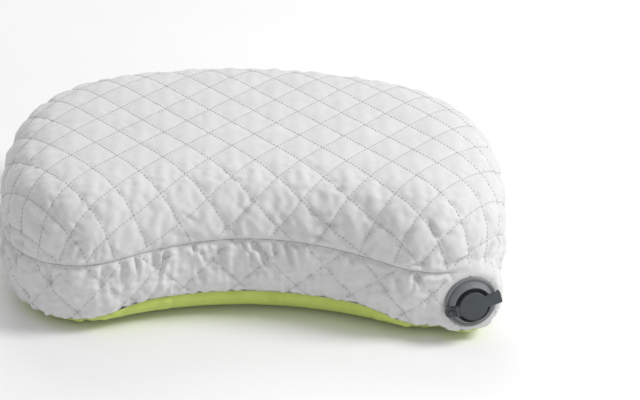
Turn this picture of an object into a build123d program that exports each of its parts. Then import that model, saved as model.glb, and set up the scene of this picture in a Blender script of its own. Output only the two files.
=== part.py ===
from build123d import *
import math
import os

# Self-inflated camp pillow: a quilted cover over a welded air bladder with a flat twin valve.
# Frame: millimetres, X to the right, Y to the back, Z up, origin on the flat underside.

# Kidney outline of the pillow, seen from above: tangent arcs from back centre to front centre.
BACK_RADIUS, BACK_SWEEP = 397.2, 17.2
BACK_CORNER_RADIUS, BACK_CORNER_SWEEP = 135.4, 64.2
SIDE_RADIUS, SIDE_SWEEP = 334.3, 19.8
LOBE_RADIUS, LOBE_SWEEP = 70.7, 104.1
WAIST_SWEEP = BACK_SWEEP + BACK_CORNER_SWEEP + SIDE_SWEEP + LOBE_SWEEP - 180.0
DEPTH = 298.7

# Side profile.
HEIGHT = 129.0
CROWN_RADIUS = 1500.0
SHOULDER_RADIUS = 42.0
KEEL_RADIUS = 26.0
UPPER_SEAM_Z = 68.0
LOWER_SEAM_Z = 17.0
SEAM_HALF_WIDTH = 0.5

# Layers, as depths below the outside of the cover.
FABRIC = 0.8
FILL_DEPTH = 4.6
LINING_DEPTH = 5.0
BINDING_DEPTH = 5.7
BINDING_WIDTH = 8.0
FILM_OUTSIDE = 6.2
FILM_INSIDE = 6.7
WELD_OUTSIDE = 5.3
BLADDER_LIFT = 5.2
BLADDER_SEAM_Z = 10.0
BLADDER_SEAM_HALF_WIDTH = 3.0

# Valve seat: the flat end of a cone that swells out of the right-hand front lobe.
VALVE_X, VALVE_Y, VALVE_Z = 179.0, -144.0, 38.0
VALVE_YAW = 12.0
VALVE_TILT = 5.0
SWELL_RADIUS = 25.0
SWELL_ANGLE = 12.0
SWELL_LENGTH = 50.0
COVER_HOLE_RADIUS = 19.5
VALVE_KEEPOUT_RADIUS = 23.5

# Valve body, radii and heights measured from the flat.
THROAT_RADIUS = 7.0
COLLAR_RADIUS = 9.5
COLLAR_TOP = 7.6
COLLAR_FOOT = -7.9
DECK_TOP = 0.0
DECK_FOOT = -1.5
DECK_RADIUS = 19.2
RING_OUTER_RADIUS = 19.4
RING_CREST_RADIUS = 16.2
RING_INNER_RADIUS = 15.4
RING_TOP = 7.5
BEZEL_INNER_RADIUS = 19.6
BEZEL_OUTER_RADIUS = 22.5
BEZEL_HEIGHT = 1.6
WELD_FLANGE_RADIUS = 18.5
WELD_FLANGE_TOP = -6.9
PATCH_RADIUS = 20.5
PATCH_TOP = -5.7

# One-way flap inside the throat.
FLAP_RADIUS = 8.6
FLAP_TOP = -7.95
FLAP_THICKNESS = 0.9
FLAP_TRAVEL = 2.5
SPIDER_TOP = -4.0
SPIDER_FOOT = -5.6
SPIDER_HUB_RADIUS = 2.4
SPIDER_SPOKE_WIDTH = 1.4
STEM_RADIUS = 1.2
STEM_CLEARANCE = 0.08
STEM_TOP = -1.2
STEM_BUTTON_TOP = -0.3
STEM_BUTTON_RADIUS = 1.9

# Cap, strap and hinge. The strap runs along the cap's long axis, turned up to the right.
STRAP_ANGLE = 16.6
CAP_RADIUS = 12.3
CAP_FOOT = 8.0
CAP_TOP = 10.2
CAP_EDGE = 0.7
PLUG_TOP_RADIUS = 6.85
PLUG_FOOT_RADIUS = 6.15
PLUG_FOOT = 3.0
SEAL_INNER_RADIUS = 7.7
SEAL_OUTER_RADIUS = 9.0
SEAL_GAP = 0.1
TAB_WIDTH = 10.6
TAB_THICKNESS = 1.7
TAB_REACH = 24.4
LIP_THICKNESS = 2.8
LIP_FOOT = 6.0
NECK_WIDTH = 9.6
HINGE_REACH = 14.5
HINGE_HEIGHT = 8.4
HINGE_RADIUS = 1.0
HINGE_GAP = 0.3
POST_REACH = 19.7
POST_RADIUS = 1.6
POST_HEAD_RADIUS = 2.2
POST_HEAD_FOOT = 7.0
POST_TOP = 7.9
LUG_TOP = 5.0
LUG_RADIUS = 4.0
EYELET_RADIUS = 4.4
EYELET_FOOT = 5.1
EYELET_TOP = 6.7
EYELET_CLEARANCE = 0.15
NOTCH_WIDTH = 10.6
STEP_THICKNESS = 1.4
STEP_TOP = 7.9

BEYOND = 60.0
OVERRUN = 1.0


# ---------------------------------------------------------------- outline and nested bodies

def waist_radius():
    """Radius of the hollow front arc that closes the outline on the centre line."""
    turned = 0.0
    reach = 0.0
    arcs = [
        (BACK_RADIUS, BACK_SWEEP),
        (BACK_CORNER_RADIUS, BACK_CORNER_SWEEP),
        (SIDE_RADIUS, SIDE_SWEEP),
        (LOBE_RADIUS, LOBE_SWEEP),
    ]
    for radius, sweep in arcs:
        reach += radius * (math.sin(math.radians(turned + sweep)) - math.sin(math.radians(turned)))
        turned += sweep
    return reach / math.sin(math.radians(WAIST_SWEEP))


def outline_arcs():
    """Radius and sweep of each arc, clockwise from the back's left end; the waist sweeps backwards."""
    right = [
        (BACK_CORNER_RADIUS, BACK_CORNER_SWEEP),
        (SIDE_RADIUS, SIDE_SWEEP),
        (LOBE_RADIUS, LOBE_SWEEP),
    ]
    back = (BACK_RADIUS, 2 * BACK_SWEEP)
    waist = (waist_radius(), -2 * WAIST_SWEEP)
    return [back] + right + [waist] + right[::-1]


def arc_centres():
    """Centre of each outline arc, with its radius, first polar angle and sweep."""
    heading = math.radians(BACK_SWEEP)
    point = Vector(-BACK_RADIUS * math.sin(heading), DEPTH / 2 - BACK_RADIUS * (1 - math.cos(heading)))
    placed = []
    for radius, sweep in outline_arcs():
        side = math.copysign(1.0, sweep)
        to_centre = Vector(math.sin(heading), -math.cos(heading)) * side
        centre = point + to_centre * radius
        first = math.degrees(math.atan2(-to_centre.Y, -to_centre.X))
        placed.append((centre, radius, first, sweep))
        heading -= math.radians(sweep)
        point = centre - Vector(math.sin(heading), -math.cos(heading)) * side * radius
    return placed


def outline(inset):
    """The kidney face, parallel to the outline and inset from it."""
    edges = []
    for centre, radius, first, sweep in arc_centres():
        side = math.copysign(1.0, sweep)
        edges.append(CenterArc(centre, radius - side * inset, first, -sweep))
    return make_face(Wire(edges))


def valve_plane():
    """Plane of the valve seat: origin on the flat, x along the band, y up the band, z outwards."""
    yaw = math.radians(VALVE_YAW)
    tilt = math.radians(VALVE_TILT)
    outwards = Vector(math.sin(yaw), -math.cos(yaw), 0)
    normal = outwards * math.cos(tilt) + Vector(0, 0, math.sin(tilt))
    along = Vector(math.cos(yaw), math.sin(yaw), 0)
    return Plane(origin=(VALVE_X, VALVE_Y, VALVE_Z), x_dir=along, z_dir=normal)


SEAT = valve_plane()


def swell(depth, floor):
    """The cone under the valve seat shrunk by a depth, standing on the floor."""
    slope = math.radians(SWELL_ANGLE)
    shrink = depth / math.cos(slope)
    end_radius = SWELL_RADIUS + depth * math.tan(slope) - shrink
    root_radius = SWELL_RADIUS + SWELL_LENGTH * math.tan(slope) - shrink
    length = SWELL_LENGTH - depth
    cone = SEAT * Pos(0, 0, -depth - length / 2) * Cone(root_radius, end_radius, length)
    return cone & Pos(VALVE_X, VALVE_Y, floor + HEIGHT / 2) * Box(HEIGHT, HEIGHT, HEIGHT)


def body(depth, lift=0.0):
    """The pillow's volume shrunk by a depth on all sides; lift lowers the floor again."""
    floor = depth - lift
    column = Pos(0, 0, floor) * extrude(outline(depth), amount=HEIGHT)
    crown = Pos(0, 0, HEIGHT - CROWN_RADIUS) * Sphere(CROWN_RADIUS - depth)
    solid = column & crown
    solid = fillet(solid.faces().sort_by(Axis.Z)[-1].edges(), SHOULDER_RADIUS - depth)
    solid = fillet(solid.faces().sort_by(Axis.Z)[0].edges(), KEEL_RADIUS - floor)
    return solid + swell(depth, floor)


def slab(shape, low, high):
    """The part of a shape between two heights."""
    width = 2 * (BACK_RADIUS + LOBE_RADIUS)
    return shape & (Pos(0, 0, (low + high) / 2) * Box(width, width, high - low))


def seat_bore(radius, low=-BEYOND / 3, high=BEYOND / 3):
    """A cylinder on the valve axis between two heights over the seat."""
    return SEAT * Pos(0, 0, (low + high) / 2) * Cylinder(radius, high - low)


def ring(inner, outer, low, high):
    """A flat ring on the valve axis."""
    return seat_bore(outer, low, high) - seat_bore(inner)


def turned_piece(profile):
    """A piece turned about the valve axis from a profile of (radius, height) points."""
    section = make_face(Polyline([(radius, 0, height) for radius, height in profile], close=True))
    return SEAT * revolve(section, Axis.Z)


STRAP = SEAT * Rot(0, 0, STRAP_ANGLE)


def strap_block(start, end, width, low, high):
    """A block along the cap's strap; distances from the valve axis, positive towards the tab."""
    centre = Pos((start + end) / 2, 0, (low + high) / 2)
    return STRAP * centre * Box(end - start, width, high - low)


def strap_post_cylinder(radius, low, high):
    """A cylinder on the post that holds the strap."""
    return STRAP * Pos(-POST_REACH, 0, (low + high) / 2) * Cylinder(radius, high - low)


# ---------------------------------------------------------------- cover

def cover_pieces():
    outside = body(0.0)
    under_fabric = body(FABRIC)
    under_fill = body(FILL_DEPTH)
    under_lining = body(LINING_DEPTH)
    under_binding = body(BINDING_DEPTH)
    fabric = outside - under_fabric
    fill = under_fabric - under_fill
    lining = under_fill - under_lining
    binding = under_lining - under_binding
    hole = seat_bore(COVER_HOLE_RADIUS)
    keep_out = seat_bore(VALVE_KEEPOUT_RADIUS)
    upper_low = UPPER_SEAM_Z - SEAM_HALF_WIDTH
    upper_high = UPPER_SEAM_Z + SEAM_HALF_WIDTH
    lower_low = LOWER_SEAM_Z - SEAM_HALF_WIDTH
    lower_high = LOWER_SEAM_Z + SEAM_HALF_WIDTH
    return {
        "top_panel": slab(fabric, upper_high, HEIGHT + 1),
        "top_fill": slab(fill, upper_high, HEIGHT + 1),
        "top_lining": slab(lining, upper_high, HEIGHT + 1),
        "side_band": slab(fabric, lower_high, upper_low) - hole,
        "band_fill": slab(fill, lower_high, upper_low) - hole,
        "band_lining": slab(lining, lower_high, upper_low) - hole,
        "bottom_panel": slab(fabric, -1, lower_low),
        "upper_seam_thread": slab(fabric, upper_low, upper_high),
        "lower_seam_thread": slab(fabric, lower_low, lower_high),
        "upper_seam_binding": slab(binding, upper_low - BINDING_WIDTH, upper_low) - keep_out,
        "lower_seam_binding": slab(binding, lower_high, lower_high + BINDING_WIDTH) - keep_out,
    }


# ---------------------------------------------------------------- air bladder

def bladder_pieces():
    outside = body(FILM_OUTSIDE, BLADDER_LIFT)
    inside = body(FILM_INSIDE, BLADDER_LIFT)
    film = outside - inside
    weld = body(WELD_OUTSIDE, BLADDER_LIFT) - outside
    valve_hole = seat_bore(COLLAR_RADIUS)
    return {
        "bladder_upper_film": slab(film, BLADDER_SEAM_Z, HEIGHT) - valve_hole,
        "bladder_lower_film": slab(film, 0, BLADDER_SEAM_Z),
        "bladder_edge_weld": slab(
            weld, BLADDER_SEAM_Z - BLADDER_SEAM_HALF_WIDTH, BLADDER_SEAM_Z + BLADDER_SEAM_HALF_WIDTH
        ),
        "bladder_valve_patch": ring(COLLAR_RADIUS, PATCH_RADIUS, -FILM_OUTSIDE, PATCH_TOP),
    }


# ---------------------------------------------------------------- valve

def cover_bezel():
    """Soft flange that closes the edge of the hole in the cover."""
    shoulder = 0.5
    return turned_piece([
        (BEZEL_INNER_RADIUS, 0),
        (BEZEL_OUTER_RADIUS, 0),
        (BEZEL_OUTER_RADIUS, BEZEL_HEIGHT - 2 * shoulder),
        (BEZEL_OUTER_RADIUS - shoulder, BEZEL_HEIGHT - shoulder / 2),
        (BEZEL_OUTER_RADIUS - 2 * shoulder, BEZEL_HEIGHT),
        (BEZEL_INNER_RADIUS, BEZEL_HEIGHT),
    ])


def valve_housing():
    """Deck that fills the hole in the cover, with the throat's collar through it."""
    return turned_piece([
        (THROAT_RADIUS, COLLAR_FOOT),
        (COLLAR_RADIUS, COLLAR_FOOT),
        (COLLAR_RADIUS, DECK_FOOT),
        (DECK_RADIUS, DECK_FOOT),
        (DECK_RADIUS, DECK_TOP),
        (COLLAR_RADIUS, DECK_TOP),
        (COLLAR_RADIUS, COLLAR_TOP),
        (THROAT_RADIUS, COLLAR_TOP),
    ])


def raised_ring():
    """Guard ring round the cap, with a notch and a lug for the strap."""
    wall = 1.5
    guard = turned_piece([
        (RING_INNER_RADIUS, DECK_TOP),
        (RING_OUTER_RADIUS, DECK_TOP),
        (RING_OUTER_RADIUS, wall),
        (RING_CREST_RADIUS, RING_TOP),
        (RING_INNER_RADIUS, RING_TOP),
    ])
    notch = strap_block(-BEZEL_OUTER_RADIUS, -POST_RADIUS, NOTCH_WIDTH, LUG_TOP, RING_TOP + OVERRUN)
    lug = strap_post_cylinder(LUG_RADIUS, BEZEL_HEIGHT + HINGE_GAP / 3, LUG_TOP)
    lug = lug - seat_bore(RING_INNER_RADIUS)
    return guard - notch + lug


def flap_spider():
    """Four spokes across the throat that guide the flap's stem."""
    arms = Box(BEYOND, SPIDER_SPOKE_WIDTH, BEYOND) + Box(SPIDER_SPOKE_WIDTH, BEYOND, BEYOND)
    arms = SEAT * arms & seat_bore(THROAT_RADIUS, SPIDER_FOOT, SPIDER_TOP)
    hub = seat_bore(SPIDER_HUB_RADIUS, SPIDER_FOOT, SPIDER_TOP)
    return arms + hub - seat_bore(STEM_RADIUS + STEM_CLEARANCE)


def flap_pieces():
    stem = seat_bore(STEM_RADIUS, FLAP_TOP, STEM_TOP)
    button = seat_bore(STEM_BUTTON_RADIUS, STEM_TOP, STEM_BUTTON_TOP)
    return {
        "check_flap": seat_bore(FLAP_RADIUS, FLAP_TOP - FLAP_THICKNESS, FLAP_TOP),
        "flap_stem": stem + button,
    }


# ---------------------------------------------------------------- cap and strap

def cap_lid():
    """Cap disc with its plug, pull tab, folded lip, neck and knuckle, moulded in one piece."""
    disc = Pos(0, 0, (CAP_FOOT + CAP_TOP) / 2) * Cylinder(CAP_RADIUS, CAP_TOP - CAP_FOOT)
    disc = fillet(disc.edges().group_by(Axis.Z)[-1], CAP_EDGE)
    plug_height = CAP_FOOT - PLUG_FOOT
    plug = Pos(0, 0, PLUG_FOOT + plug_height / 2) * Cone(PLUG_FOOT_RADIUS, PLUG_TOP_RADIUS, plug_height)
    tab_top = CAP_FOOT + TAB_THICKNESS
    tab = strap_block(THROAT_RADIUS, TAB_REACH, TAB_WIDTH, CAP_FOOT, tab_top)
    lip = strap_block(TAB_REACH - LIP_THICKNESS, TAB_REACH, TAB_WIDTH, LIP_FOOT, tab_top)
    neck = strap_block(-HINGE_REACH, -THROAT_RADIUS, NECK_WIDTH, CAP_FOOT, HINGE_HEIGHT + HINGE_RADIUS)
    knuckle = Pos(-HINGE_REACH, 0, HINGE_HEIGHT) * Rot(90, 0, 0) * Cylinder(HINGE_RADIUS, NECK_WIDTH)
    return STRAP * (disc + plug + knuckle) + tab + lip + neck


def strap_eyelet():
    """Fixed end of the strap: an eyelet on the post, stepped up to the hinge."""
    near = -HINGE_REACH - HINGE_RADIUS - HINGE_GAP
    eye = strap_post_cylinder(EYELET_RADIUS, EYELET_FOOT, EYELET_TOP)
    eye += strap_block(-POST_REACH, near, 2 * EYELET_RADIUS, EYELET_FOOT, EYELET_TOP)
    eye += strap_block(near - STEP_THICKNESS, near, 2 * EYELET_RADIUS, EYELET_FOOT, STEP_TOP)
    return eye - strap_post_cylinder(POST_RADIUS + EYELET_CLEARANCE, EYELET_FOOT - OVERRUN, EYELET_TOP + OVERRUN)


def strap_post():
    """Headed post that holds the eyelet on the lug."""
    shank = strap_post_cylinder(POST_RADIUS, LUG_TOP, POST_TOP)
    head = strap_post_cylinder(POST_HEAD_RADIUS, POST_HEAD_FOOT, POST_TOP)
    return shank + head


def valve_pieces():
    pieces = {
        "valve_weld_flange": ring(COLLAR_RADIUS, WELD_FLANGE_RADIUS, COLLAR_FOOT, WELD_FLANGE_TOP),
        "cover_bezel": cover_bezel(),
        "valve_housing": valve_housing(),
        "raised_ring": raised_ring(),
        "flap_spider": flap_spider(),
        "strap_post": strap_post(),
        "strap_eyelet": strap_eyelet(),
        "cap_lid": cap_lid(),
        "cap_seal_ring": ring(SEAL_INNER_RADIUS, SEAL_OUTER_RADIUS, COLLAR_TOP + SEAL_GAP, CAP_FOOT),
    }
    pieces.update(flap_pieces())
    return pieces


def main():
    os.makedirs("parts", exist_ok=True)
    pieces = {}
    pieces.update(cover_pieces())
    pieces.update(bladder_pieces())
    pieces.update(valve_pieces())
    for name, shape in pieces.items():
        export_step(shape, f"parts/{name}.step")


main()
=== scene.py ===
import math

import bmesh
import bpy
import numpy as np
from mathutils import Matrix, Vector, geometry, kdtree


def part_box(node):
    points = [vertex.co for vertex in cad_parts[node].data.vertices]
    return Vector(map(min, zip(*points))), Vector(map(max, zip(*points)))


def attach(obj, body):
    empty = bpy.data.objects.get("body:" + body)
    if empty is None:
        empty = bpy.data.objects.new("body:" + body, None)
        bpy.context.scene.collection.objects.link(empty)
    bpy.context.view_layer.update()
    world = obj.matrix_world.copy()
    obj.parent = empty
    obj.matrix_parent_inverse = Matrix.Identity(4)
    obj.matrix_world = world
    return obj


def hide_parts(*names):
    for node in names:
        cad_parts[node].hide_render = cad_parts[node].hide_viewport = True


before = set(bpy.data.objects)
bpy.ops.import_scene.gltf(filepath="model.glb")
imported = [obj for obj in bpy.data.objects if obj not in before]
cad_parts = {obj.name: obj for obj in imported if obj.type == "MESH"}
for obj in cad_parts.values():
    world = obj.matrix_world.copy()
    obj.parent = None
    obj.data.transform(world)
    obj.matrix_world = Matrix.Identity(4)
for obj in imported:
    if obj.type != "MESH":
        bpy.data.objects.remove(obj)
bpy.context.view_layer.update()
SCENE = bpy.context.scene

# ------------------------------------------------------------------ dimensions, metres

# Kidney outline, right half from back centre to front centre: radius and sweep of each arc.
OUTLINE_ARCS = ((0.3972, 17.2), (0.1354, 64.2), (0.3343, 19.8), (0.0707, 104.1))
DEPTH = 0.2987
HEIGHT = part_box("top_panel")[1].z
SAMPLE = 0.0005

# Section from the floor to the crown; insets are measured inwards from the outline.
SEAM_INSET = 0.0009
KEEL_INSET = 0.0043
KEEL_REACH = 0.0386
CROWN_REACH = 0.0826
CROWN_POWER = 3.11
CROWN_CORE = 0.060
KEEL_CORE = KEEL_INSET + KEEL_REACH

# Heights over the half outline: a mean, then cosine waves of half a turn, one turn and two turns.
UPPER_SEAM = (0.0659, -0.0032, 0.0052, 0.0029)
# The keel's shoulder: a mean and a wave of two turns.
KEEL_SHOULDER = (0.0246, 0.0017)
# The lower seam turns under the lobes and sides by this angle, in radians, between two places.
HEM_DROP = 0.62
HEM_FRONT, HEM_FRONT_BLEND = 0.87, 0.13
HEM_BACK, HEM_BACK_BLEND = 0.12, 0.30

# Valve seat: a flat face on the right front lobe, to which the fabric is drawn out.
SEAT_CENTRE = (0.179, -0.144, 0.038)
SEAT_NORMAL = (0.20712, -0.97443, 0.08716)
SEAT_RADIUS = 0.0235
SEAT_BLEND = 0.014
SEAT_DEPTH, SEAT_DEPTH_BLEND = 0.070, 0.030
SEAT_CLEARANCE = 0.0003
# Under the valve's deck the fabric drops a little and has a hole.
DECK_RADIUS, DECK_EDGE, DECK_DROP = 0.0202, 0.0012, 0.0024
HOLE_RADIUS = 0.0178
HOLE_DEPTH = 0.02
TAB_CORNERS_FROM = 0.020
TAB_CORNER_RADIUS = 0.0014

# Quilting on the top: half diagonals of a diamond, one crossing, and mesh steps along a diamond's side.
DIAMOND = (0.0191, 0.0231)
CROSSING = (0.0179, -0.0921)
CELL_STEPS = 10
TOP_CELL = 0.0293
TOP_CALM = 0.010
TOP_MARGIN = 0.0016
TOP_BORDER_STEP = 6
# Quilting on the band: diamonds all round, mesh steps to a half diagonal, rows in all, and the row
# of the crossings that the stitch lines start from.
BAND_DIAMONDS = 27
BAND_HALF = 10
BAND_ROWS = 21
BAND_CROSSING_ROW = 14
BAND_START = 0.0114
BAND_CELL = 0.046
BAND_CALM = 0.008
# The base is plain: mesh step, its distance from the seam and samples between two points of the seam.
BASE_STEP = 0.0042
BASE_MARGIN = 0.0022
BASE_BORDER_STEP = 8

# The cloth simulation: air pressure, and the share of cloth to spare between the stitch lines.
PRESSURE = 1.7
EXTRA_CLOTH = 0.036
QUILT_DIP = 0.0010
QUILT_PUFF = 0.0018
PUFF_POWER = 2.6
# Share of the simulated relief that each panel keeps: less on the taut flat top than on its slopes.
TOP_RELIEF = (0.38, 1.0)
TOP_SLOPE_WIDTH = (0.050, 0.095)
BAND_RELIEF = 1.35
SEAM_GROOVE = 0.0022
SEAM_GROOVE_WIDTH = 0.0022
# Threads: length, pitch and radius of a stitch.
QUILT_STITCH = (0.0022, 0.0037, 0.00027)
SEAM_STITCH = (0.0026, 0.0032, 0.0003)
STITCH_LIFT = 0.0002
THREAD_STEP = 8

PUCKER_WAVES = 7

BLADDER_GAP = 0.009
BLADDER_REST = 0.0015
ON_LINE = 1e-6
# Mesh points are laid out on a lattice of this many steps each way, within this reach in x and y.
LATTICE_STEPS = 160
LATTICE_REACH = (0.30, 0.25)


def smooth_step(x):
    x = np.clip(x, 0, 1)
    return x * x * (3 - 2 * x)


# ------------------------------------------------------------------ the pillow's outline

def half_outline(count=700):
    """Points and outward normals of the right half of the outline, from back centre to front centre."""
    turned = 0.0
    x, y = 0.0, DEPTH / 2
    pieces = []
    for radius, sweep in OUTLINE_ARCS:
        angles = np.radians(turned + np.linspace(0, sweep, count))
        normal = np.stack([np.sin(angles), np.cos(angles)], 1)
        centre = np.array([x, y]) - normal[0] * radius
        pieces.append((centre + normal * radius, normal))
        turned += sweep
        x, y = pieces[-1][0][-1]
    waist_sweep = turned - 180.0
    waist_radius = x / math.sin(math.radians(waist_sweep))
    angles = np.radians(turned - np.linspace(0, waist_sweep, count))
    normal = np.stack([np.sin(angles), np.cos(angles)], 1)
    centre = np.array([x, y]) + normal[0] * waist_radius
    pieces.append((centre - normal * waist_radius, normal))
    return np.concatenate([p for p, _ in pieces]), np.concatenate([n for _, n in pieces])


def whole_outline():
    """Even samples all round, clockwise from the back, and the whole length.

    Each has its point, its outward normal, and its place from 0 at the back to 1 at the front.
    """
    points, normals = half_outline()
    steps = np.linalg.norm(np.diff(points, axis=0), axis=1)
    place = np.concatenate([[0], np.cumsum(steps)])
    place /= place[-1]
    mirror = np.array([-1, 1])
    points = np.concatenate([points, points[::-1] * mirror])
    normals = np.concatenate([normals, normals[::-1] * mirror])
    place = np.concatenate([place, place[::-1]])
    steps = np.linalg.norm(np.diff(points, axis=0, append=points[:1]), axis=1)
    length = np.concatenate([[0], np.cumsum(steps)])
    at = np.linspace(0, length[-1], int(round(length[-1] / SAMPLE)), endpoint=False)
    columns = [points[:, 0], points[:, 1], normals[:, 0], normals[:, 1], place]
    x, y, u, v, even_place = [np.interp(at, length, np.append(c, c[0])) for c in columns]
    turn = np.stack([u, v], 1)
    return np.stack([x, y], 1), turn / np.linalg.norm(turn, axis=1)[:, None], even_place, length[-1]


OUTLINE, OUTWARDS, PLACE, PERIMETER = whole_outline()
ONWARDS = np.stack([OUTWARDS[:, 1], -OUTWARDS[:, 0]], 1)
SEAT_AXIS = np.array(SEAT_NORMAL) / np.linalg.norm(SEAT_NORMAL)


# ------------------------------------------------------------------ the section at each place

def seam_heights():
    """Heights of the keel's shoulder and of the upper seam at each sample of the outline."""
    mean, half_turn, one_turn, two_turns = UPPER_SEAM
    upper = (
        mean
        + half_turn * np.cos(np.pi * PLACE)
        + one_turn * np.cos(2 * np.pi * PLACE)
        + two_turns * np.cos(4 * np.pi * PLACE)
    )
    return KEEL_SHOULDER[0] + KEEL_SHOULDER[1] * np.cos(4 * np.pi * PLACE), upper


def hem_angles():
    """Angle of the lower seam round the keel: a right angle at the shoulder, less where it is tucked."""
    front = smooth_step((HEM_FRONT - PLACE) / HEM_FRONT_BLEND)
    back = smooth_step((PLACE - HEM_BACK) / HEM_BACK_BLEND)
    drop = front * back
    return np.pi / 2 - HEM_DROP * drop


LOW, HIGH = seam_heights()
HEM = hem_angles()


def crown(index, t):
    """Inset and height of the top panel, from its seam at t 0 to the flat of the crown at t 1."""
    high = HIGH[index]
    rise = (1 - np.clip(1 - t, 0, 1) ** CROWN_POWER) ** (1 / CROWN_POWER)
    return SEAM_INSET + CROWN_REACH * t, high + (HEIGHT - high) * rise


def keel_arc(index, angle):
    """Inset and height on the rounded keel: the floor at angle 0, its shoulder at a right angle."""
    return KEEL_INSET + KEEL_REACH * (1 - np.sin(angle)), LOW[index] * (1 - np.cos(angle))


def band(index, t):
    """Inset and height of the side band, from its lower seam at t 0 to its upper seam at t 1."""
    low, high, hem = LOW[index], HIGH[index], HEM[index]
    turned = np.hypot(low * np.cos(hem), KEEL_REACH * (1 - np.sin(hem)))
    share = turned / (turned + high - low)
    angle = hem + (np.pi / 2 - hem) * np.clip(t / np.maximum(share, 1e-6), 0, 1)
    up = np.clip((t - share) / (1 - share), 0, 1)
    edge = np.where(up < 0.5, KEEL_INSET, SEAM_INSET)
    inset, height = keel_arc(index, angle)
    on_side = t >= share
    inset = np.where(on_side, edge * (2 * up - 1) ** 2, inset)
    return inset, np.where(on_side, low + (high - low) * up, height)


def keel(index, t):
    """Inset and height of the base, from its seam at t 0 to the floor at t 1."""
    k = np.sin(HEM[index]) * np.clip(1 - t, 0, 1)
    return KEEL_INSET + KEEL_REACH * (1 - k), LOW[index] * (1 - np.sqrt(np.clip(1 - k * k, 0, 1)))


def line_tree(points):
    """Search tree for the points of a plan line."""
    tree = kdtree.KDTree(len(points))
    for i, p in enumerate(points):
        tree.insert((p[0], p[1], 0), i)
    tree.balance()
    return tree


def nearest(tree, points):
    """Index of the sample nearest to each point, and its distance."""
    found = [tree.find((p[0], p[1], 0)) for p in points]
    return np.array([f[1] for f in found]), np.array([f[2] for f in found])


class Sheet:
    """A panel cut flat: its plan inside the core, and true length along the section outside it."""

    def __init__(self, section, core, reach, count=240):
        self.section = section
        self.core = core
        self.start = SEAM_INSET if section is crown else KEEL_INSET
        self.reach = reach
        self.core_line = OUTLINE - OUTWARDS * core
        self.tree = line_tree(self.core_line)
        # t grows from the seam to the core, in short steps first, where the section is steep.
        self.t = np.linspace(0, 1, count) ** 2 * (core - self.start) / reach
        whole = self.lengths(np.arange(len(OUTLINE)))[:, 0]
        self.seam_line = self.core_line + OUTWARDS * whole[:, None]

    def lengths(self, index):
        """Length along the section from the core out to each t, one row to a sample."""
        inset, height = self.section(index[:, None], self.t[None, :])
        steps = np.hypot(np.diff(inset, axis=1), np.diff(height, axis=1))
        back = np.cumsum(steps[:, ::-1], axis=1)[:, ::-1]
        return np.concatenate([back, np.zeros((len(index), 1))], axis=1)

    def place(self, flat):
        """Points in the row frame for points of the flat sheet."""
        index, distance = nearest(self.tree, flat)
        offset = flat - self.core_line[index]
        out = (offset * OUTWARDS[index]).sum(1)
        side = (offset * ONWARDS[index]).sum(1)
        length = self.lengths(index)
        cell = np.clip((length > out[:, None]).sum(1) - 1, 0, len(self.t) - 2)
        rows = np.arange(len(flat))
        a, b = length[rows, cell], length[rows, cell + 1]
        share = np.clip((a - out) / np.maximum(a - b, 1e-9), 0, 1)
        t = self.t[cell] + (self.t[cell + 1] - self.t[cell]) * share
        inside = out < 0
        t = np.where(inside, (self.core + distance - self.start) / self.reach, t)
        inset, height = self.section(index, t)
        outer = self.core_line[index] + OUTWARDS[index] * (self.core - inset)[:, None]
        outer = outer + ONWARDS[index] * side[:, None]
        plan = np.where(inside[:, None], flat, outer)
        return np.column_stack([plan, height])


# ------------------------------------------------------------------ meshes

def make_object(name, points, faces):
    """A smooth-shaded mesh object."""
    mesh = bpy.data.meshes.new(name)
    mesh.from_pydata([tuple(p) for p in points], [], faces)
    mesh.validate()
    mesh.update()
    obj = bpy.data.objects.new(name, mesh)
    SCENE.collection.objects.link(obj)
    mesh.polygons.foreach_set("use_smooth", [True] * len(mesh.polygons))
    return obj


def points_of(obj):
    flat = np.empty(len(obj.data.vertices) * 3)
    obj.data.vertices.foreach_get("co", flat)
    return flat.reshape(-1, 3)


def normals_of(obj):
    flat = np.empty(len(obj.data.vertices) * 3, dtype=np.float32)
    obj.data.vertex_normals.foreach_get("vector", flat)
    return flat.reshape(-1, 3).astype(float)


def move_points(obj, points):
    obj.data.vertices.foreach_set("co", np.ascontiguousarray(points).ravel())
    obj.data.update()


def face_up(obj, towards):
    """Turns the faces so that the mesh's normals point along the given directions on average."""
    if (normals_of(obj) * towards).sum() < 0:
        obj.data.flip_normals()


def triangulate(border, inner):
    """Triangles over a flat border and the points inside it; the border's points come first."""
    points = [Vector(p) for p in border] + [Vector(p) for p in inner]
    count = len(border)
    edges = [(i, (i + 1) % count) for i in range(count)]
    found = geometry.delaunay_2d_cdt(points, edges, [], 1, 1e-7)
    return np.array([tuple(p) for p in found[0]]), [tuple(f) for f in found[2]]


def join_quads(obj):
    """Pairs of triangles become quads, so that one subdivision stays light."""
    work = bmesh.new()
    work.from_mesh(obj.data)
    bmesh.ops.join_triangles(
        work, faces=work.faces[:], angle_face_threshold=0.9, angle_shape_threshold=0.9,
    )
    work.to_mesh(obj.data)
    work.free()
    obj.data.polygons.foreach_set("use_smooth", [True] * len(obj.data.polygons))


def tube_faces(rings, count):
    """Quads between closed rings of points, one ring after another."""
    faces = []
    for low in range(0, (rings - 1) * count, count):
        high = low + count
        for k in range(count):
            after = (k + 1) % count
            faces.append((low + k, low + after, high + after, high + k))
    return faces


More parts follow.
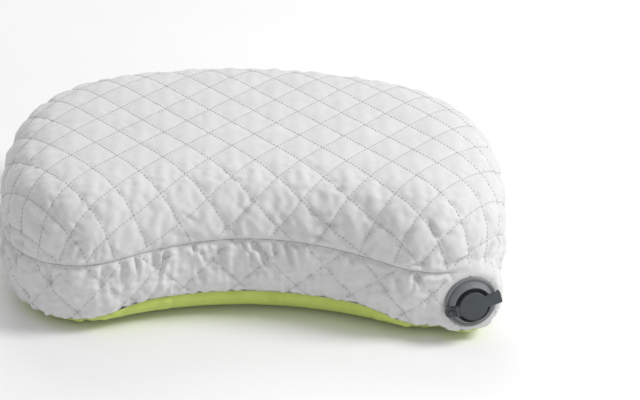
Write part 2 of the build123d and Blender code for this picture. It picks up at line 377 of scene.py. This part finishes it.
def lattice(sheet, origin, first, second, margin):
    """Grid points of a skewed lattice that lie inside the sheet's seam line."""
    tree = line_tree(sheet.seam_line)
    steps = np.arange(-LATTICE_STEPS, LATTICE_STEPS + 1)
    a, b = [m.ravel() for m in np.meshgrid(steps, steps)]
    points = np.array(origin) + np.outer(a, first) + np.outer(b, second)
    keep = (np.abs(points) < np.array(LATTICE_REACH)).all(axis=1)
    points, a, b = points[keep], a[keep], b[keep]
    index, _ = nearest(tree, points)
    inward = -((points - sheet.seam_line[index]) * OUTWARDS[index]).sum(1)
    keep = inward > margin
    return points[keep], a[keep], b[keep], inward[keep]


def attribute(obj, name, values):
    """Stores a value for each point, which a subdivision carries over."""
    layer = obj.data.attributes.new(name, "FLOAT", "POINT")
    layer.data.foreach_set("value", np.asarray(values, dtype=np.float32))


def read_attribute(obj, name):
    values = np.empty(len(obj.data.vertices), dtype=np.float32)
    obj.data.attributes[name].data.foreach_get("value", values)
    return values.astype(float)


def cell_puff(a, b):
    """0 on a stitch line and 1 in the middle of a diamond, from places in it that run from 0 to 1."""
    across = 1 - np.abs(2 * (a % 1) - 1) ** PUFF_POWER
    along = 1 - np.abs(2 * (b % 1) - 1) ** PUFF_POWER
    return across * along


def over_seat(points):
    """Height over the valve's seat and distance from its axis."""
    offset = points - np.array(SEAT_CENTRE)
    height = offset @ SEAT_AXIS
    return height, np.linalg.norm(offset - np.outer(height, SEAT_AXIS), axis=1)


def seat_warp(points):
    """Draws the fabric out to the flat seat of the valve."""
    height, radius = over_seat(points)
    pull = smooth_step((SEAT_RADIUS + SEAT_BLEND - radius) / SEAT_BLEND)
    pull *= smooth_step((height + SEAT_DEPTH) / SEAT_DEPTH_BLEND)
    under_deck = smooth_step((DECK_RADIUS - radius) / DECK_EDGE)
    target = -SEAT_CLEARANCE - DECK_DROP * under_deck
    moved = height * (1 - pull) + target * pull
    return points + np.outer(moved - height, SEAT_AXIS)


# ------------------------------------------------------------------ quilted cloth

def simulate(objects, frames=20):
    """Inflates the sewn-down cloth a little, so that it puckers between its stitch lines."""
    for obj in objects:
        cloth = obj.modifiers.new("cloth", "CLOTH")
        settings = cloth.settings
        settings.quality = 4
        settings.mass = 0.15
        settings.tension_stiffness = 12
        settings.compression_stiffness = 12
        settings.shear_stiffness = 4
        settings.bending_stiffness = 0.25
        settings.tension_damping = 8
        settings.compression_damping = 8
        settings.shear_damping = 8
        settings.air_damping = 3
        settings.use_pressure = True
        settings.uniform_pressure_force = PRESSURE
        settings.shrink_min = -EXTRA_CLOTH
        settings.vertex_group_mass = "pin"
        settings.pin_stiffness = 1.0
        settings.effector_weights.gravity = 0
        cloth.collision_settings.use_collision = False
        cloth.collision_settings.use_self_collision = False
        cloth.point_cache.frame_start = 1
        cloth.point_cache.frame_end = frames
    for frame_number in range(1, frames + 1):
        SCENE.frame_set(frame_number)
    graph = bpy.context.evaluated_depsgraph_get()
    for obj in objects:
        shape = obj.evaluated_get(graph).to_mesh()
        flat = np.empty(len(shape.vertices) * 3)
        shape.vertices.foreach_get("co", flat)
        obj.evaluated_get(graph).to_mesh_clear()
        obj.modifiers.clear()
        move_points(obj, flat.reshape(-1, 3))
    SCENE.frame_set(1)


def subdivide(obj):
    """One subdivision, applied. The first points of the new mesh are those of the old one."""
    modifier = obj.modifiers.new("smooth", "SUBSURF")
    modifier.levels = 1
    modifier.render_levels = 1
    graph = bpy.context.evaluated_depsgraph_get()
    mesh = bpy.data.meshes.new_from_object(obj.evaluated_get(graph))
    obj.modifiers.clear()
    old = obj.data
    obj.data = mesh
    mesh.name = old.name
    bpy.data.meshes.remove(old)


def pin(obj, mask):
    """Holds the masked points still in the simulation."""
    group = obj.vertex_groups.new(name="pin")
    group.add([int(i) for i in np.flatnonzero(mask)], 1.0, "REPLACE")


def settle(obj):
    """Draws a panel to the valve's seat and keeps it above the floor."""
    points = seat_warp(points_of(obj))
    points[:, 2] = np.maximum(points[:, 2], 0)
    move_points(obj, points)


def quilt(obj, a, b, edge, calm, cell, sewn):
    """Lifts the diamonds, pins the stitch lines and stores the distance from them.

    a and b are whole numbers on the two families of stitch lines, and edge is the distance from a seam.
    Returns the smooth shape without its diamonds.
    """
    from_line = np.minimum(np.abs(a - np.round(a)), np.abs(b - np.round(b)))
    lift = (QUILT_PUFF * cell_puff(a, b) - QUILT_DIP) * smooth_step(edge / calm)
    smooth = seat_warp(points_of(obj))
    move_points(obj, seat_warp(points_of(obj) + normals_of(obj) * lift[:, None]))
    pin(obj, sewn | (from_line < ON_LINE))
    attribute(obj, "line", from_line * cell)
    return smooth


def make_top():
    """The quilted top, its stitch lines as runs of points, and its smooth shape."""
    sheet = Sheet(crown, CROWN_CORE, CROWN_REACH)
    first = np.array(DIAMOND) / CELL_STEPS
    second = first * np.array([1, -1])
    inner, a, b, inward = lattice(sheet, CROSSING, first, second, TOP_MARGIN)
    border = sheet.seam_line[::TOP_BORDER_STEP]
    count = len(border)
    flat, faces = triangulate(border, inner)
    obj = make_object("top_cover", sheet.place(flat), faces)
    face_up(obj, np.array([0, 0, 1]))
    a = np.concatenate([np.full(count, 0.5), a / CELL_STEPS])
    b = np.concatenate([np.full(count, 0.5), b / CELL_STEPS])
    seam = np.concatenate([np.zeros(count), inward])
    smooth = quilt(obj, a, b, seam, TOP_CALM, TOP_CELL, np.arange(len(a)) < count)
    attribute(obj, "seam", seam)
    cells = {}
    for i in range(count, len(a)):
        key = (int(round(a[i] * CELL_STEPS)), int(round(b[i] * CELL_STEPS)))
        cells[key] = i
    runs = []
    for family in (0, 1):
        lines = {}
        for key, i in cells.items():
            if key[family] % CELL_STEPS == 0:
                lines.setdefault(key[family], []).append((key[1 - family], i))
        for members in lines.values():
            runs.extend(split_runs(sorted(members)))
    return obj, runs, smooth


def make_bladder():
    """The air bladder, held off the cover by the wadding: one smooth closed skin."""
    shares = np.linspace(0, 1, 15)
    index = np.arange(0, len(OUTLINE), 10)
    profile = [(keel, 1 - share, BLADDER_REST) for share in shares[:-1]]
    profile += [(band, share, BLADDER_GAP) for share in shares[:-1]]
    profile += [(crown, share, BLADDER_GAP) for share in shares]
    points = []
    for section, share, gap in profile:
        inset, height = section(index, np.full(len(index), share))
        sunk = (inset + BLADDER_GAP)[:, None]
        rim = np.column_stack([OUTLINE[index] - OUTWARDS[index] * sunk, height])
        rim[:, 2] = gap + (rim[:, 2] * (HEIGHT - BLADDER_GAP - gap) / HEIGHT)
        points.append(rim)
    count = len(index)
    faces = tube_faces(len(profile), count)
    faces.append(tuple(range(count)))
    faces.append(tuple(reversed(range((len(profile) - 1) * count, len(profile) * count))))
    obj = make_object("bladder_skin", np.concatenate(points), faces)
    face_up(obj, points_of(obj) - np.array([0, 0, HEIGHT / 2]))
    return obj


def split_runs(members):
    """Lists of vertices that follow one another along a stitch line."""
    runs, last = [], None
    for place, index in members:
        if last is None or place != last + 1:
            runs.append([])
        runs[-1].append(index)
        last = place
    return [run for run in runs if len(run) > 1]


def make_band():
    """The quilted side band, its stitch lines as runs of points, and its smooth shape."""
    columns = 2 * BAND_HALF * BAND_DIAMONDS
    along = (BAND_START + np.arange(columns) * PERIMETER / columns) / SAMPLE
    index = np.round(along).astype(int) % len(OUTLINE)
    rows = np.arange(BAND_ROWS + 1)
    width = HIGH[index] - LOW[index] + LOW[index] * np.cos(HEM[index])
    points, lines, seam, hem = [], [], [], []
    for row in rows:
        t = row / BAND_ROWS
        inset, height = band(index, np.full(columns, t))
        points.append(np.column_stack([OUTLINE[index] - OUTWARDS[index] * inset[:, None], height]))
        up = np.arange(columns) + (row - BAND_CROSSING_ROW)
        down = np.arange(columns) - (row - BAND_CROSSING_ROW)
        lines.append((up / (2 * BAND_HALF), down / (2 * BAND_HALF)))
        seam.append(width * (1 - t))
        hem.append(width * t)
    obj = make_object("band_cover", np.concatenate(points), tube_faces(len(rows), columns))
    outward = np.tile(np.column_stack([OUTWARDS[index], np.zeros(columns)]), (len(rows), 1))
    face_up(obj, outward)
    a = np.concatenate([pair[0] for pair in lines])
    b = np.concatenate([pair[1] for pair in lines])
    seam, hem = np.concatenate(seam), np.concatenate(hem)
    edge = np.minimum(seam, hem)
    smooth = quilt(obj, a, b, edge, BAND_CALM, BAND_CELL, edge < ON_LINE)
    attribute(obj, "seam", seam)
    attribute(obj, "hem", hem)
    runs = []
    for start in range(0, columns, 2 * BAND_HALF):
        for way in (1, -1):
            run = []
            for row in rows:
                k = (start + way * (row - BAND_CROSSING_ROW)) % columns
                run.append(row * columns + k)
            runs.append(run)
    return obj, runs, smooth


def make_base():
    """The plain base, from the lower seam under the keel to the floor."""
    sheet = Sheet(keel, KEEL_CORE, KEEL_REACH)
    first, second = np.array([BASE_STEP, 0]), np.array([0, BASE_STEP])
    inner, _, _, inward = lattice(sheet, (0.0, 0.0), first, second, BASE_MARGIN)
    border = sheet.seam_line[::BASE_BORDER_STEP]
    flat, faces = triangulate(border, inner)
    obj = make_object("base_cover", sheet.place(flat), faces)
    face_up(obj, np.array([0, 0, -1]))
    settle(obj)
    attribute(obj, "hem", np.concatenate([np.zeros(len(border)), inward]))
    return obj


# ------------------------------------------------------------------ threads

def capsule_rings(start, end, radius, sides=6):
    """Corner points of a short rounded stitch between two points."""
    axis = end - start
    length = np.linalg.norm(axis)
    axis = axis / max(length, 1e-9)
    side = np.cross(axis, [0.0, 0.0, 1.0])
    if np.linalg.norm(side) < 0.2:
        side = np.cross(axis, [0.0, 1.0, 0.0])
    side /= np.linalg.norm(side)
    other = np.cross(axis, side)
    turns = 2 * np.pi * np.arange(sides) / sides
    ring = np.outer(np.cos(turns), side) + np.outer(np.sin(turns), other)
    rings = []
    for share, scale in ((0.0, 0.45), (0.18, 1.0), (0.82, 1.0), (1.0, 0.45)):
        rings.append(start + axis * length * share + ring * radius * scale)
    return np.concatenate(rings)


def stitch_mesh(name, lines, length, pitch, radius, sides=6):
    """Short stitches one after another along each line of points, as one mesh."""
    points, faces = [], []
    for line in lines:
        steps = np.linalg.norm(np.diff(line, axis=0), axis=1)
        run = np.concatenate([[0], np.cumsum(steps)])
        for at in np.arange(0.3 * pitch, run[-1] - length, pitch):
            ends = []
            for stop in (at, at + length):
                ends.append(np.array([np.interp(stop, run, line[:, k]) for k in range(3)]))
            base = len(points) * 4 * sides
            points.append(capsule_rings(ends[0], ends[1], radius, sides))
            for ring in range(3):
                for i in range(sides):
                    j = (i + 1) % sides
                    low, high = base + ring * sides, base + (ring + 1) * sides
                    faces.append((low + i, low + j, high + j, high + i))
            faces.append(tuple(base + i for i in reversed(range(sides))))
            faces.append(tuple(base + 3 * sides + i for i in range(sides)))
    return make_object(name, np.concatenate(points), faces)


def quilt_stitches(name, obj, runs):
    """The quilting thread of a panel, which lies on its surface along its stitch lines."""
    points, normals = points_of(obj), normals_of(obj)
    lines = [points[run] + normals[run] * STITCH_LIFT for run in runs]
    return stitch_mesh(name, lines, *QUILT_STITCH)


def seam_stitches(name, share):
    """Thread in the groove of the band's seam at that share of its height, save under the valve."""
    inset, height = band(np.arange(len(OUTLINE)), np.full(len(OUTLINE), share))
    sunk = inset + (SEAM_GROOVE - STITCH_LIFT)
    line = np.column_stack([OUTLINE - OUTWARDS * sunk[:, None], height])[::THREAD_STEP]
    _, radius = over_seat(line)
    parts, part = [], []
    for point, reach in zip(seat_warp(line), radius):
        if reach > SEAT_RADIUS:
            part.append(point)
        elif part:
            parts.append(np.array(part))
            part = []
    if part:
        parts.append(np.array(part))
    return stitch_mesh(name, parts, *SEAM_STITCH)


def open_valve(obj):
    """Cuts the hole under the valve."""
    height, radius = over_seat(points_of(obj))
    gone = set(np.flatnonzero((radius < HOLE_RADIUS) & (height > -HOLE_DEPTH)).tolist())
    work = bmesh.new()
    work.from_mesh(obj.data)
    faces = [f for f in work.faces if all(v.index in gone for v in f.verts)]
    bmesh.ops.delete(work, geom=faces, context="FACES")
    work.to_mesh(obj.data)
    work.free()


def groove(obj, name, depth, width):
    """Pulls a panel's edge inwards at a seam. Both panels of a seam move alike and stay joined."""
    points = points_of(obj)
    index, _ = nearest(OUTLINE_TREE, points)
    depth = depth * np.exp(-((read_attribute(obj, name) / width) ** 2))
    points[:, :2] -= OUTWARDS[index] * depth[:, None]
    move_points(obj, points)


def pucker(obj, seed, amount):
    """Short creases that run away from the stitch lines and seams."""
    points, normals = points_of(obj), normals_of(obj)
    line = read_attribute(obj, "line")
    seam = read_attribute(obj, "seam")
    random = np.random.default_rng(seed)
    wave = np.zeros(len(points))
    for _ in range(PUCKER_WAVES):
        direction = random.normal(size=3)
        direction *= 2 * np.pi / random.uniform(0.006, 0.013) / np.linalg.norm(direction)
        wave += np.sin(points @ direction + random.uniform(0, 2 * np.pi))
    near = np.exp(-line / 0.006) * smooth_step(line / 0.0015)
    slope = 1 - 0.75 * smooth_step((seam - 0.055) / 0.04)
    lift = amount * wave / PUCKER_WAVES * (0.35 + near) * smooth_step(seam / 0.004) * slope
    move_points(obj, points + normals * lift[:, None])


def creases(obj, seed, count, depth, edge, reach):
    """Single folds that start at a seam and die out inwards, each with a soft swelling beside it."""
    points, normals = points_of(obj), normals_of(obj)
    index, _ = nearest(OUTLINE_TREE, points)
    along = index * SAMPLE
    away = read_attribute(obj, edge)
    random = np.random.default_rng(seed)
    lift = np.zeros(len(points))
    for _ in range(count):
        start = random.uniform(0, PERIMETER)
        slant = random.normal(0, 0.35)
        width = random.uniform(0.0016, 0.0034)
        length = reach * random.uniform(0.5, 1.3)
        strength = depth * random.uniform(0.3, 1.0) ** 1.5
        side = random.choice((-1.0, 1.0))
        across = (along - start - slant * away + PERIMETER / 2) % PERIMETER - PERIMETER / 2
        valley = np.exp(-((across / width) ** 2))
        swelling = np.exp(-(((across - side * 2.2 * width) / (1.6 * width)) ** 2))
        lift += strength * (0.7 * swelling - valley) * smooth_step((length - away) / length)
    lift = np.clip(lift, -0.9 * depth, 0.6 * depth) * smooth_step(away / 0.004)
    move_points(obj, points + normals * lift[:, None])


def dimples(obj, seed, count, depth):
    """Short folds that start on the stitch lines and run down the slope, deeper where it is steep."""
    points, normals = points_of(obj), normals_of(obj)
    index, _ = nearest(OUTLINE_TREE, points)
    seam = read_attribute(obj, "seam")
    sewn = np.flatnonzero((read_attribute(obj, "line") < 0.0025) & (seam > 0.006))
    random = np.random.default_rng(seed)
    lift = np.zeros(len(points))
    for start in random.choice(sewn, count, replace=False):
        steep = 1 - abs(normals[start, 2])
        heading = math.atan2(*OUTWARDS[index[start]][::-1]) + random.normal(0, 0.55)
        along = np.array([math.cos(heading), math.sin(heading), 0.0])
        along -= normals[start] * (along @ normals[start])
        along /= np.linalg.norm(along)
        offset = points - points[start]
        reach = random.uniform(0.006, 0.013)
        width = random.uniform(0.0014, 0.0026)
        away = offset @ along
        across = offset @ np.cross(normals[start], along)
        swelling = np.exp(-(((across - 2.2 * width) / (1.6 * width)) ** 2))
        valley = np.exp(-((across / width) ** 2)) - 0.6 * swelling
        near = np.exp(-((away / reach) ** 2)) * (np.abs(offset @ normals[start]) < 0.02)
        lift -= depth * (0.35 + 1.3 * steep) * random.uniform(0.3, 1.0) * valley * near
    lift = np.clip(lift, -1.6 * depth, 0.9 * depth) * smooth_step(seam / 0.004)
    move_points(obj, points + normals * lift[:, None])


# ------------------------------------------------------------------ materials

def material(name, colours, scale, roughness, bump, bump_scale, sheen=0.0, coat=0.0):
    """Node material: a noise drives the colour between two tones, a finer one the bump."""
    made = bpy.data.materials.new(name)
    made.use_nodes = True
    nodes, links = made.node_tree.nodes, made.node_tree.links
    shader = nodes["Principled BSDF"]
    shader.inputs["Roughness"].default_value = roughness
    shader.inputs["Sheen Weight"].default_value = sheen
    shader.inputs["Coat Weight"].default_value = coat
    shader.inputs["Metallic"].default_value = 0.0
    place = nodes.new("ShaderNodeTexCoord")
    noise = nodes.new("ShaderNodeTexNoise")
    noise.inputs["Scale"].default_value = scale
    noise.inputs["Detail"].default_value = 4.0
    ramp = nodes.new("ShaderNodeValToRGB")
    ramp.color_ramp.elements[0].position = 0.3
    ramp.color_ramp.elements[1].position = 0.7
    ramp.color_ramp.elements[0].color = (*colours[0], 1)
    ramp.color_ramp.elements[1].color = (*colours[1], 1)
    links.new(place.outputs["Object"], noise.inputs["Vector"])
    links.new(noise.outputs["Fac"], ramp.inputs["Fac"])
    links.new(ramp.outputs["Color"], shader.inputs["Base Color"])
    grain = nodes.new("ShaderNodeTexNoise")
    grain.inputs["Scale"].default_value = bump_scale
    grain.inputs["Detail"].default_value = 3.0
    links.new(place.outputs["Object"], grain.inputs["Vector"])
    relief = nodes.new("ShaderNodeBump")
    relief.inputs["Strength"].default_value = bump
    relief.inputs["Distance"].default_value = 0.0003
    links.new(grain.outputs["Fac"], relief.inputs["Height"])
    links.new(relief.outputs["Normal"], shader.inputs["Normal"])
    return made


FINISHES = {
    "quilted_face_fabric": material(
        "quilted_face_fabric", ((0.615, 0.616, 0.622), (0.665, 0.666, 0.670)), 45, 0.9, 0.35, 900,
        sheen=0.25,
    ),
    "green_nylon": material(
        "green_nylon", ((0.47, 0.58, 0.105), (0.53, 0.64, 0.135)), 60, 0.5, 0.3, 1500, sheen=0.1,
    ),
    "wadding": material(
        "wadding", ((0.78, 0.78, 0.76), (0.88, 0.88, 0.86)), 200, 0.95, 0.8, 700,
    ),
    "lining_cloth": material(
        "lining_cloth", ((0.62, 0.62, 0.62), (0.72, 0.72, 0.72)), 150, 0.85, 0.4, 1200,
    ),
    "grey_thread": material(
        "grey_thread", ((0.36, 0.36, 0.37), (0.47, 0.47, 0.48)), 900, 0.8, 0.5, 4000,
    ),
    "binding_tape": material(
        "binding_tape", ((0.55, 0.55, 0.56), (0.65, 0.65, 0.66)), 300, 0.85, 0.6, 1800,
    ),
    "bladder_film": material(
        "bladder_film", ((0.42, 0.45, 0.47), (0.50, 0.53, 0.55)), 30, 0.35, 0.1, 300, coat=0.2,
    ),
    "valve_grey": material(
        "valve_grey", ((0.165, 0.173, 0.180), (0.190, 0.198, 0.205)), 120, 0.42, 0.25, 2500,
    ),
    "valve_dark": material(
        "valve_dark", ((0.042, 0.051, 0.058), (0.052, 0.062, 0.070)), 120, 0.45, 0.25, 2500,
    ),
    "seal_rubber": material(
        "seal_rubber", ((0.020, 0.020, 0.022), (0.030, 0.030, 0.033)), 150, 0.6, 0.3, 2500,
    ),
}

NODE_FINISHES = {
    "valve_weld_flange": "valve_grey",
    "cover_bezel": "valve_grey",
    "valve_housing": "valve_grey",
    "raised_ring": "valve_grey",
    "flap_spider": "valve_dark",
    "strap_post": "valve_dark",
    "strap_eyelet": "valve_dark",
    "cap_lid": "valve_dark",
    "cap_seal_ring": "seal_rubber",
    "check_flap": "seal_rubber",
    "flap_stem": "seal_rubber",
}


def finish_piece(obj, slot, body="pillow"):
    """Gives a visible piece its finish, its slot and the body it rides on."""
    obj.data.materials.clear()
    obj.data.materials.append(FINISHES[slot])
    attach(obj, body)


# ------------------------------------------------------------------ the pillow

OUTLINE_TREE = line_tree(OUTLINE)
top, top_runs, top_smooth = make_top()
side, side_runs, side_smooth = make_band()
base = make_base()
bladder = make_bladder()
simulate((top, side))
from_slope = read_attribute(top, "seam") - TOP_SLOPE_WIDTH[0]
flatness = smooth_step(from_slope / (TOP_SLOPE_WIDTH[1] - TOP_SLOPE_WIDTH[0]))
kept = TOP_RELIEF[1] + (TOP_RELIEF[0] - TOP_RELIEF[1]) * flatness
move_points(top, top_smooth + (points_of(top) - top_smooth) * kept[:, None])
move_points(side, side_smooth + (points_of(side) - side_smooth) * BAND_RELIEF)

join_quads(top)
join_quads(base)
for panel in (top, side, base):
    subdivide(panel)
pucker(top, 3, 0.0012)
pucker(side, 5, 0.0022)
creases(top, 11, 110, 0.0022, "seam", 0.034)
dimples(top, 21, 260, 0.0014)
creases(side, 12, 150, 0.0036, "seam", 0.040)
creases(side, 14, 80, 0.0026, "hem", 0.022)
creases(base, 13, 70, 0.0016, "hem", 0.030)
for panel, edge in ((top, "seam"), (side, "seam"), (side, "hem"), (base, "hem")):
    groove(panel, edge, SEAM_GROOVE, SEAM_GROOVE_WIDTH)
for panel in (top, side, base):
    settle(panel)

top_stitches = quilt_stitches("top_stitches", top, top_runs)
side_stitches = quilt_stitches("band_stitches", side, side_runs)
open_valve(side)
upper_thread = seam_stitches("upper_seam_stitches", 1.0)
lower_thread = seam_stitches("lower_seam_stitches", 0.0)

for piece, finish in (
    (top, "quilted_face_fabric"), (side, "quilted_face_fabric"), (base, "green_nylon"),
    (top_stitches, "grey_thread"), (side_stitches, "grey_thread"),
    (upper_thread, "grey_thread"), (lower_thread, "grey_thread"), (bladder, "bladder_film"),
):
    finish_piece(piece, finish)
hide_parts("top_panel", "top_fill", "top_lining")
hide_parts("side_band", "band_fill", "band_lining", "upper_seam_binding", "lower_seam_binding")
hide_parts("bottom_panel")
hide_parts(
    "bladder_upper_film", "bladder_lower_film", "bladder_edge_weld", "bladder_valve_patch",
)
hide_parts("upper_seam_thread")
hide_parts("lower_seam_thread")

for node, slot in NODE_FINISHES.items():
    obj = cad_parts[node]
    obj.data.materials.clear()
    obj.data.materials.append(FINISHES[slot])


def tab_corners(work):
    """The upright edges at the corners of the cap's pull tab."""
    axis = Vector(SEAT_NORMAL).normalized()
    corners = []
    for edge in work.edges:
        line = edge.verts[1].co - edge.verts[0].co
        middle = (edge.verts[0].co + edge.verts[1].co) / 2 - Vector(SEAT_CENTRE)
        upright = abs(line.normalized().dot(axis)) > 0.99
        if upright and (middle - axis * middle.dot(axis)).length > TAB_CORNERS_FROM:
            corners.append(edge)
    return corners


def rounded(node, width, body="pillow"):
    """A valve part with its moulded edges rounded, in place of its CAD node."""
    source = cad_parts[node]
    obj = source.copy()
    obj.data = source.data.copy()
    obj.name = node + "_moulded"
    obj.parent = None
    obj.matrix_world = Matrix.Identity(4)
    SCENE.collection.objects.link(obj)
    work = bmesh.new()
    work.from_mesh(obj.data)
    bmesh.ops.remove_doubles(work, verts=work.verts[:], dist=1e-6)
    bmesh.ops.dissolve_limit(work, angle_limit=0.02, verts=work.verts[:], edges=work.edges[:])
    if body == "cap":
        bmesh.ops.bevel(
            work, geom=tab_corners(work), offset=TAB_CORNER_RADIUS,
            segments=4, profile=0.5, affect="EDGES",
        )
    sharp = [e for e in work.edges if len(e.link_faces) == 2 and e.calc_face_angle(0) > 0.6]
    bmesh.ops.bevel(
        work, geom=sharp, offset=width, segments=3, profile=0.6, affect="EDGES", clamp_overlap=True,
    )
    for face in work.faces:
        face.smooth = True
    for edge in work.edges:
        edge.smooth = edge.calc_face_angle(0) < 0.7
    work.to_mesh(obj.data)
    work.free()
    finish_piece(obj, NODE_FINISHES[node], body)
    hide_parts(node)


rounded("cover_bezel", 0.0003)
rounded("raised_ring", 0.0003)
rounded("strap_eyelet", 0.0003)
rounded("strap_post", 0.0004)
rounded("cap_lid", 0.0005, "cap")


# ------------------------------------------------------------------ floor, light and camera

def area_light(name, place, target, size, power):
    """A round soft light at a place, turned to its target."""
    data = bpy.data.lights.new(name, "AREA")
    data.shape = "DISK"
    data.size = size
    data.energy = power
    lamp = bpy.data.objects.new(name, data)
    lamp.location = place
    lamp.rotation_euler = (Vector(target) - Vector(place)).to_track_quat("-Z", "Y").to_euler()
    SCENE.collection.objects.link(lamp)


def make_floor():
    """The white ground, which is not part of the object."""
    floor = make_object("floor", [(-6, -6, 0), (6, -6, 0), (6, 6, 0), (-6, 6, 0)], [(0, 1, 2, 3)])
    paper = material("floor_paper", ((0.86, 0.86, 0.86), (0.90, 0.90, 0.90)), 2, 0.9, 0.05, 200)
    floor.data.materials.append(paper)


make_floor()
area_light("key", place=(1.5, -0.3, 1.5), target=(0, 0, 0.05), size=0.8, power=29)
area_light("back", place=(-0.3, 1.4, 1.5), target=(0, 0, 0.05), size=1.2, power=8)

world = bpy.data.worlds.new("studio")
world.use_nodes = True
world.node_tree.nodes["Background"].inputs["Color"].default_value = (1, 1, 1, 1)
world.node_tree.nodes["Background"].inputs["Strength"].default_value = 0.57
SCENE.world = world
SCENE.view_settings.view_transform = "Standard"

EYE = Vector((-0.05164, -1.93275, 1.05935))
BACKWARDS = Vector((-0.05056, -0.88621, 0.46052)).normalized()
CAMERA_ROLL = 0.0473
LENS = 140.52

across = Vector((-BACKWARDS.y, BACKWARDS.x, 0)).normalized()
upright = BACKWARDS.cross(across)
right = across * math.cos(CAMERA_ROLL) + upright * math.sin(CAMERA_ROLL)
top_way = upright * math.cos(CAMERA_ROLL) - across * math.sin(CAMERA_ROLL)
camera = bpy.data.objects.new("camera", bpy.data.cameras.new("camera"))
camera.data.sensor_width = 36
camera.data.lens = LENS
turn = Matrix((right, top_way, BACKWARDS)).transposed().to_4x4()
camera.matrix_world = Matrix.Translation(EYE) @ turn
SCENE.collection.objects.link(camera)
SCENE.camera = camera
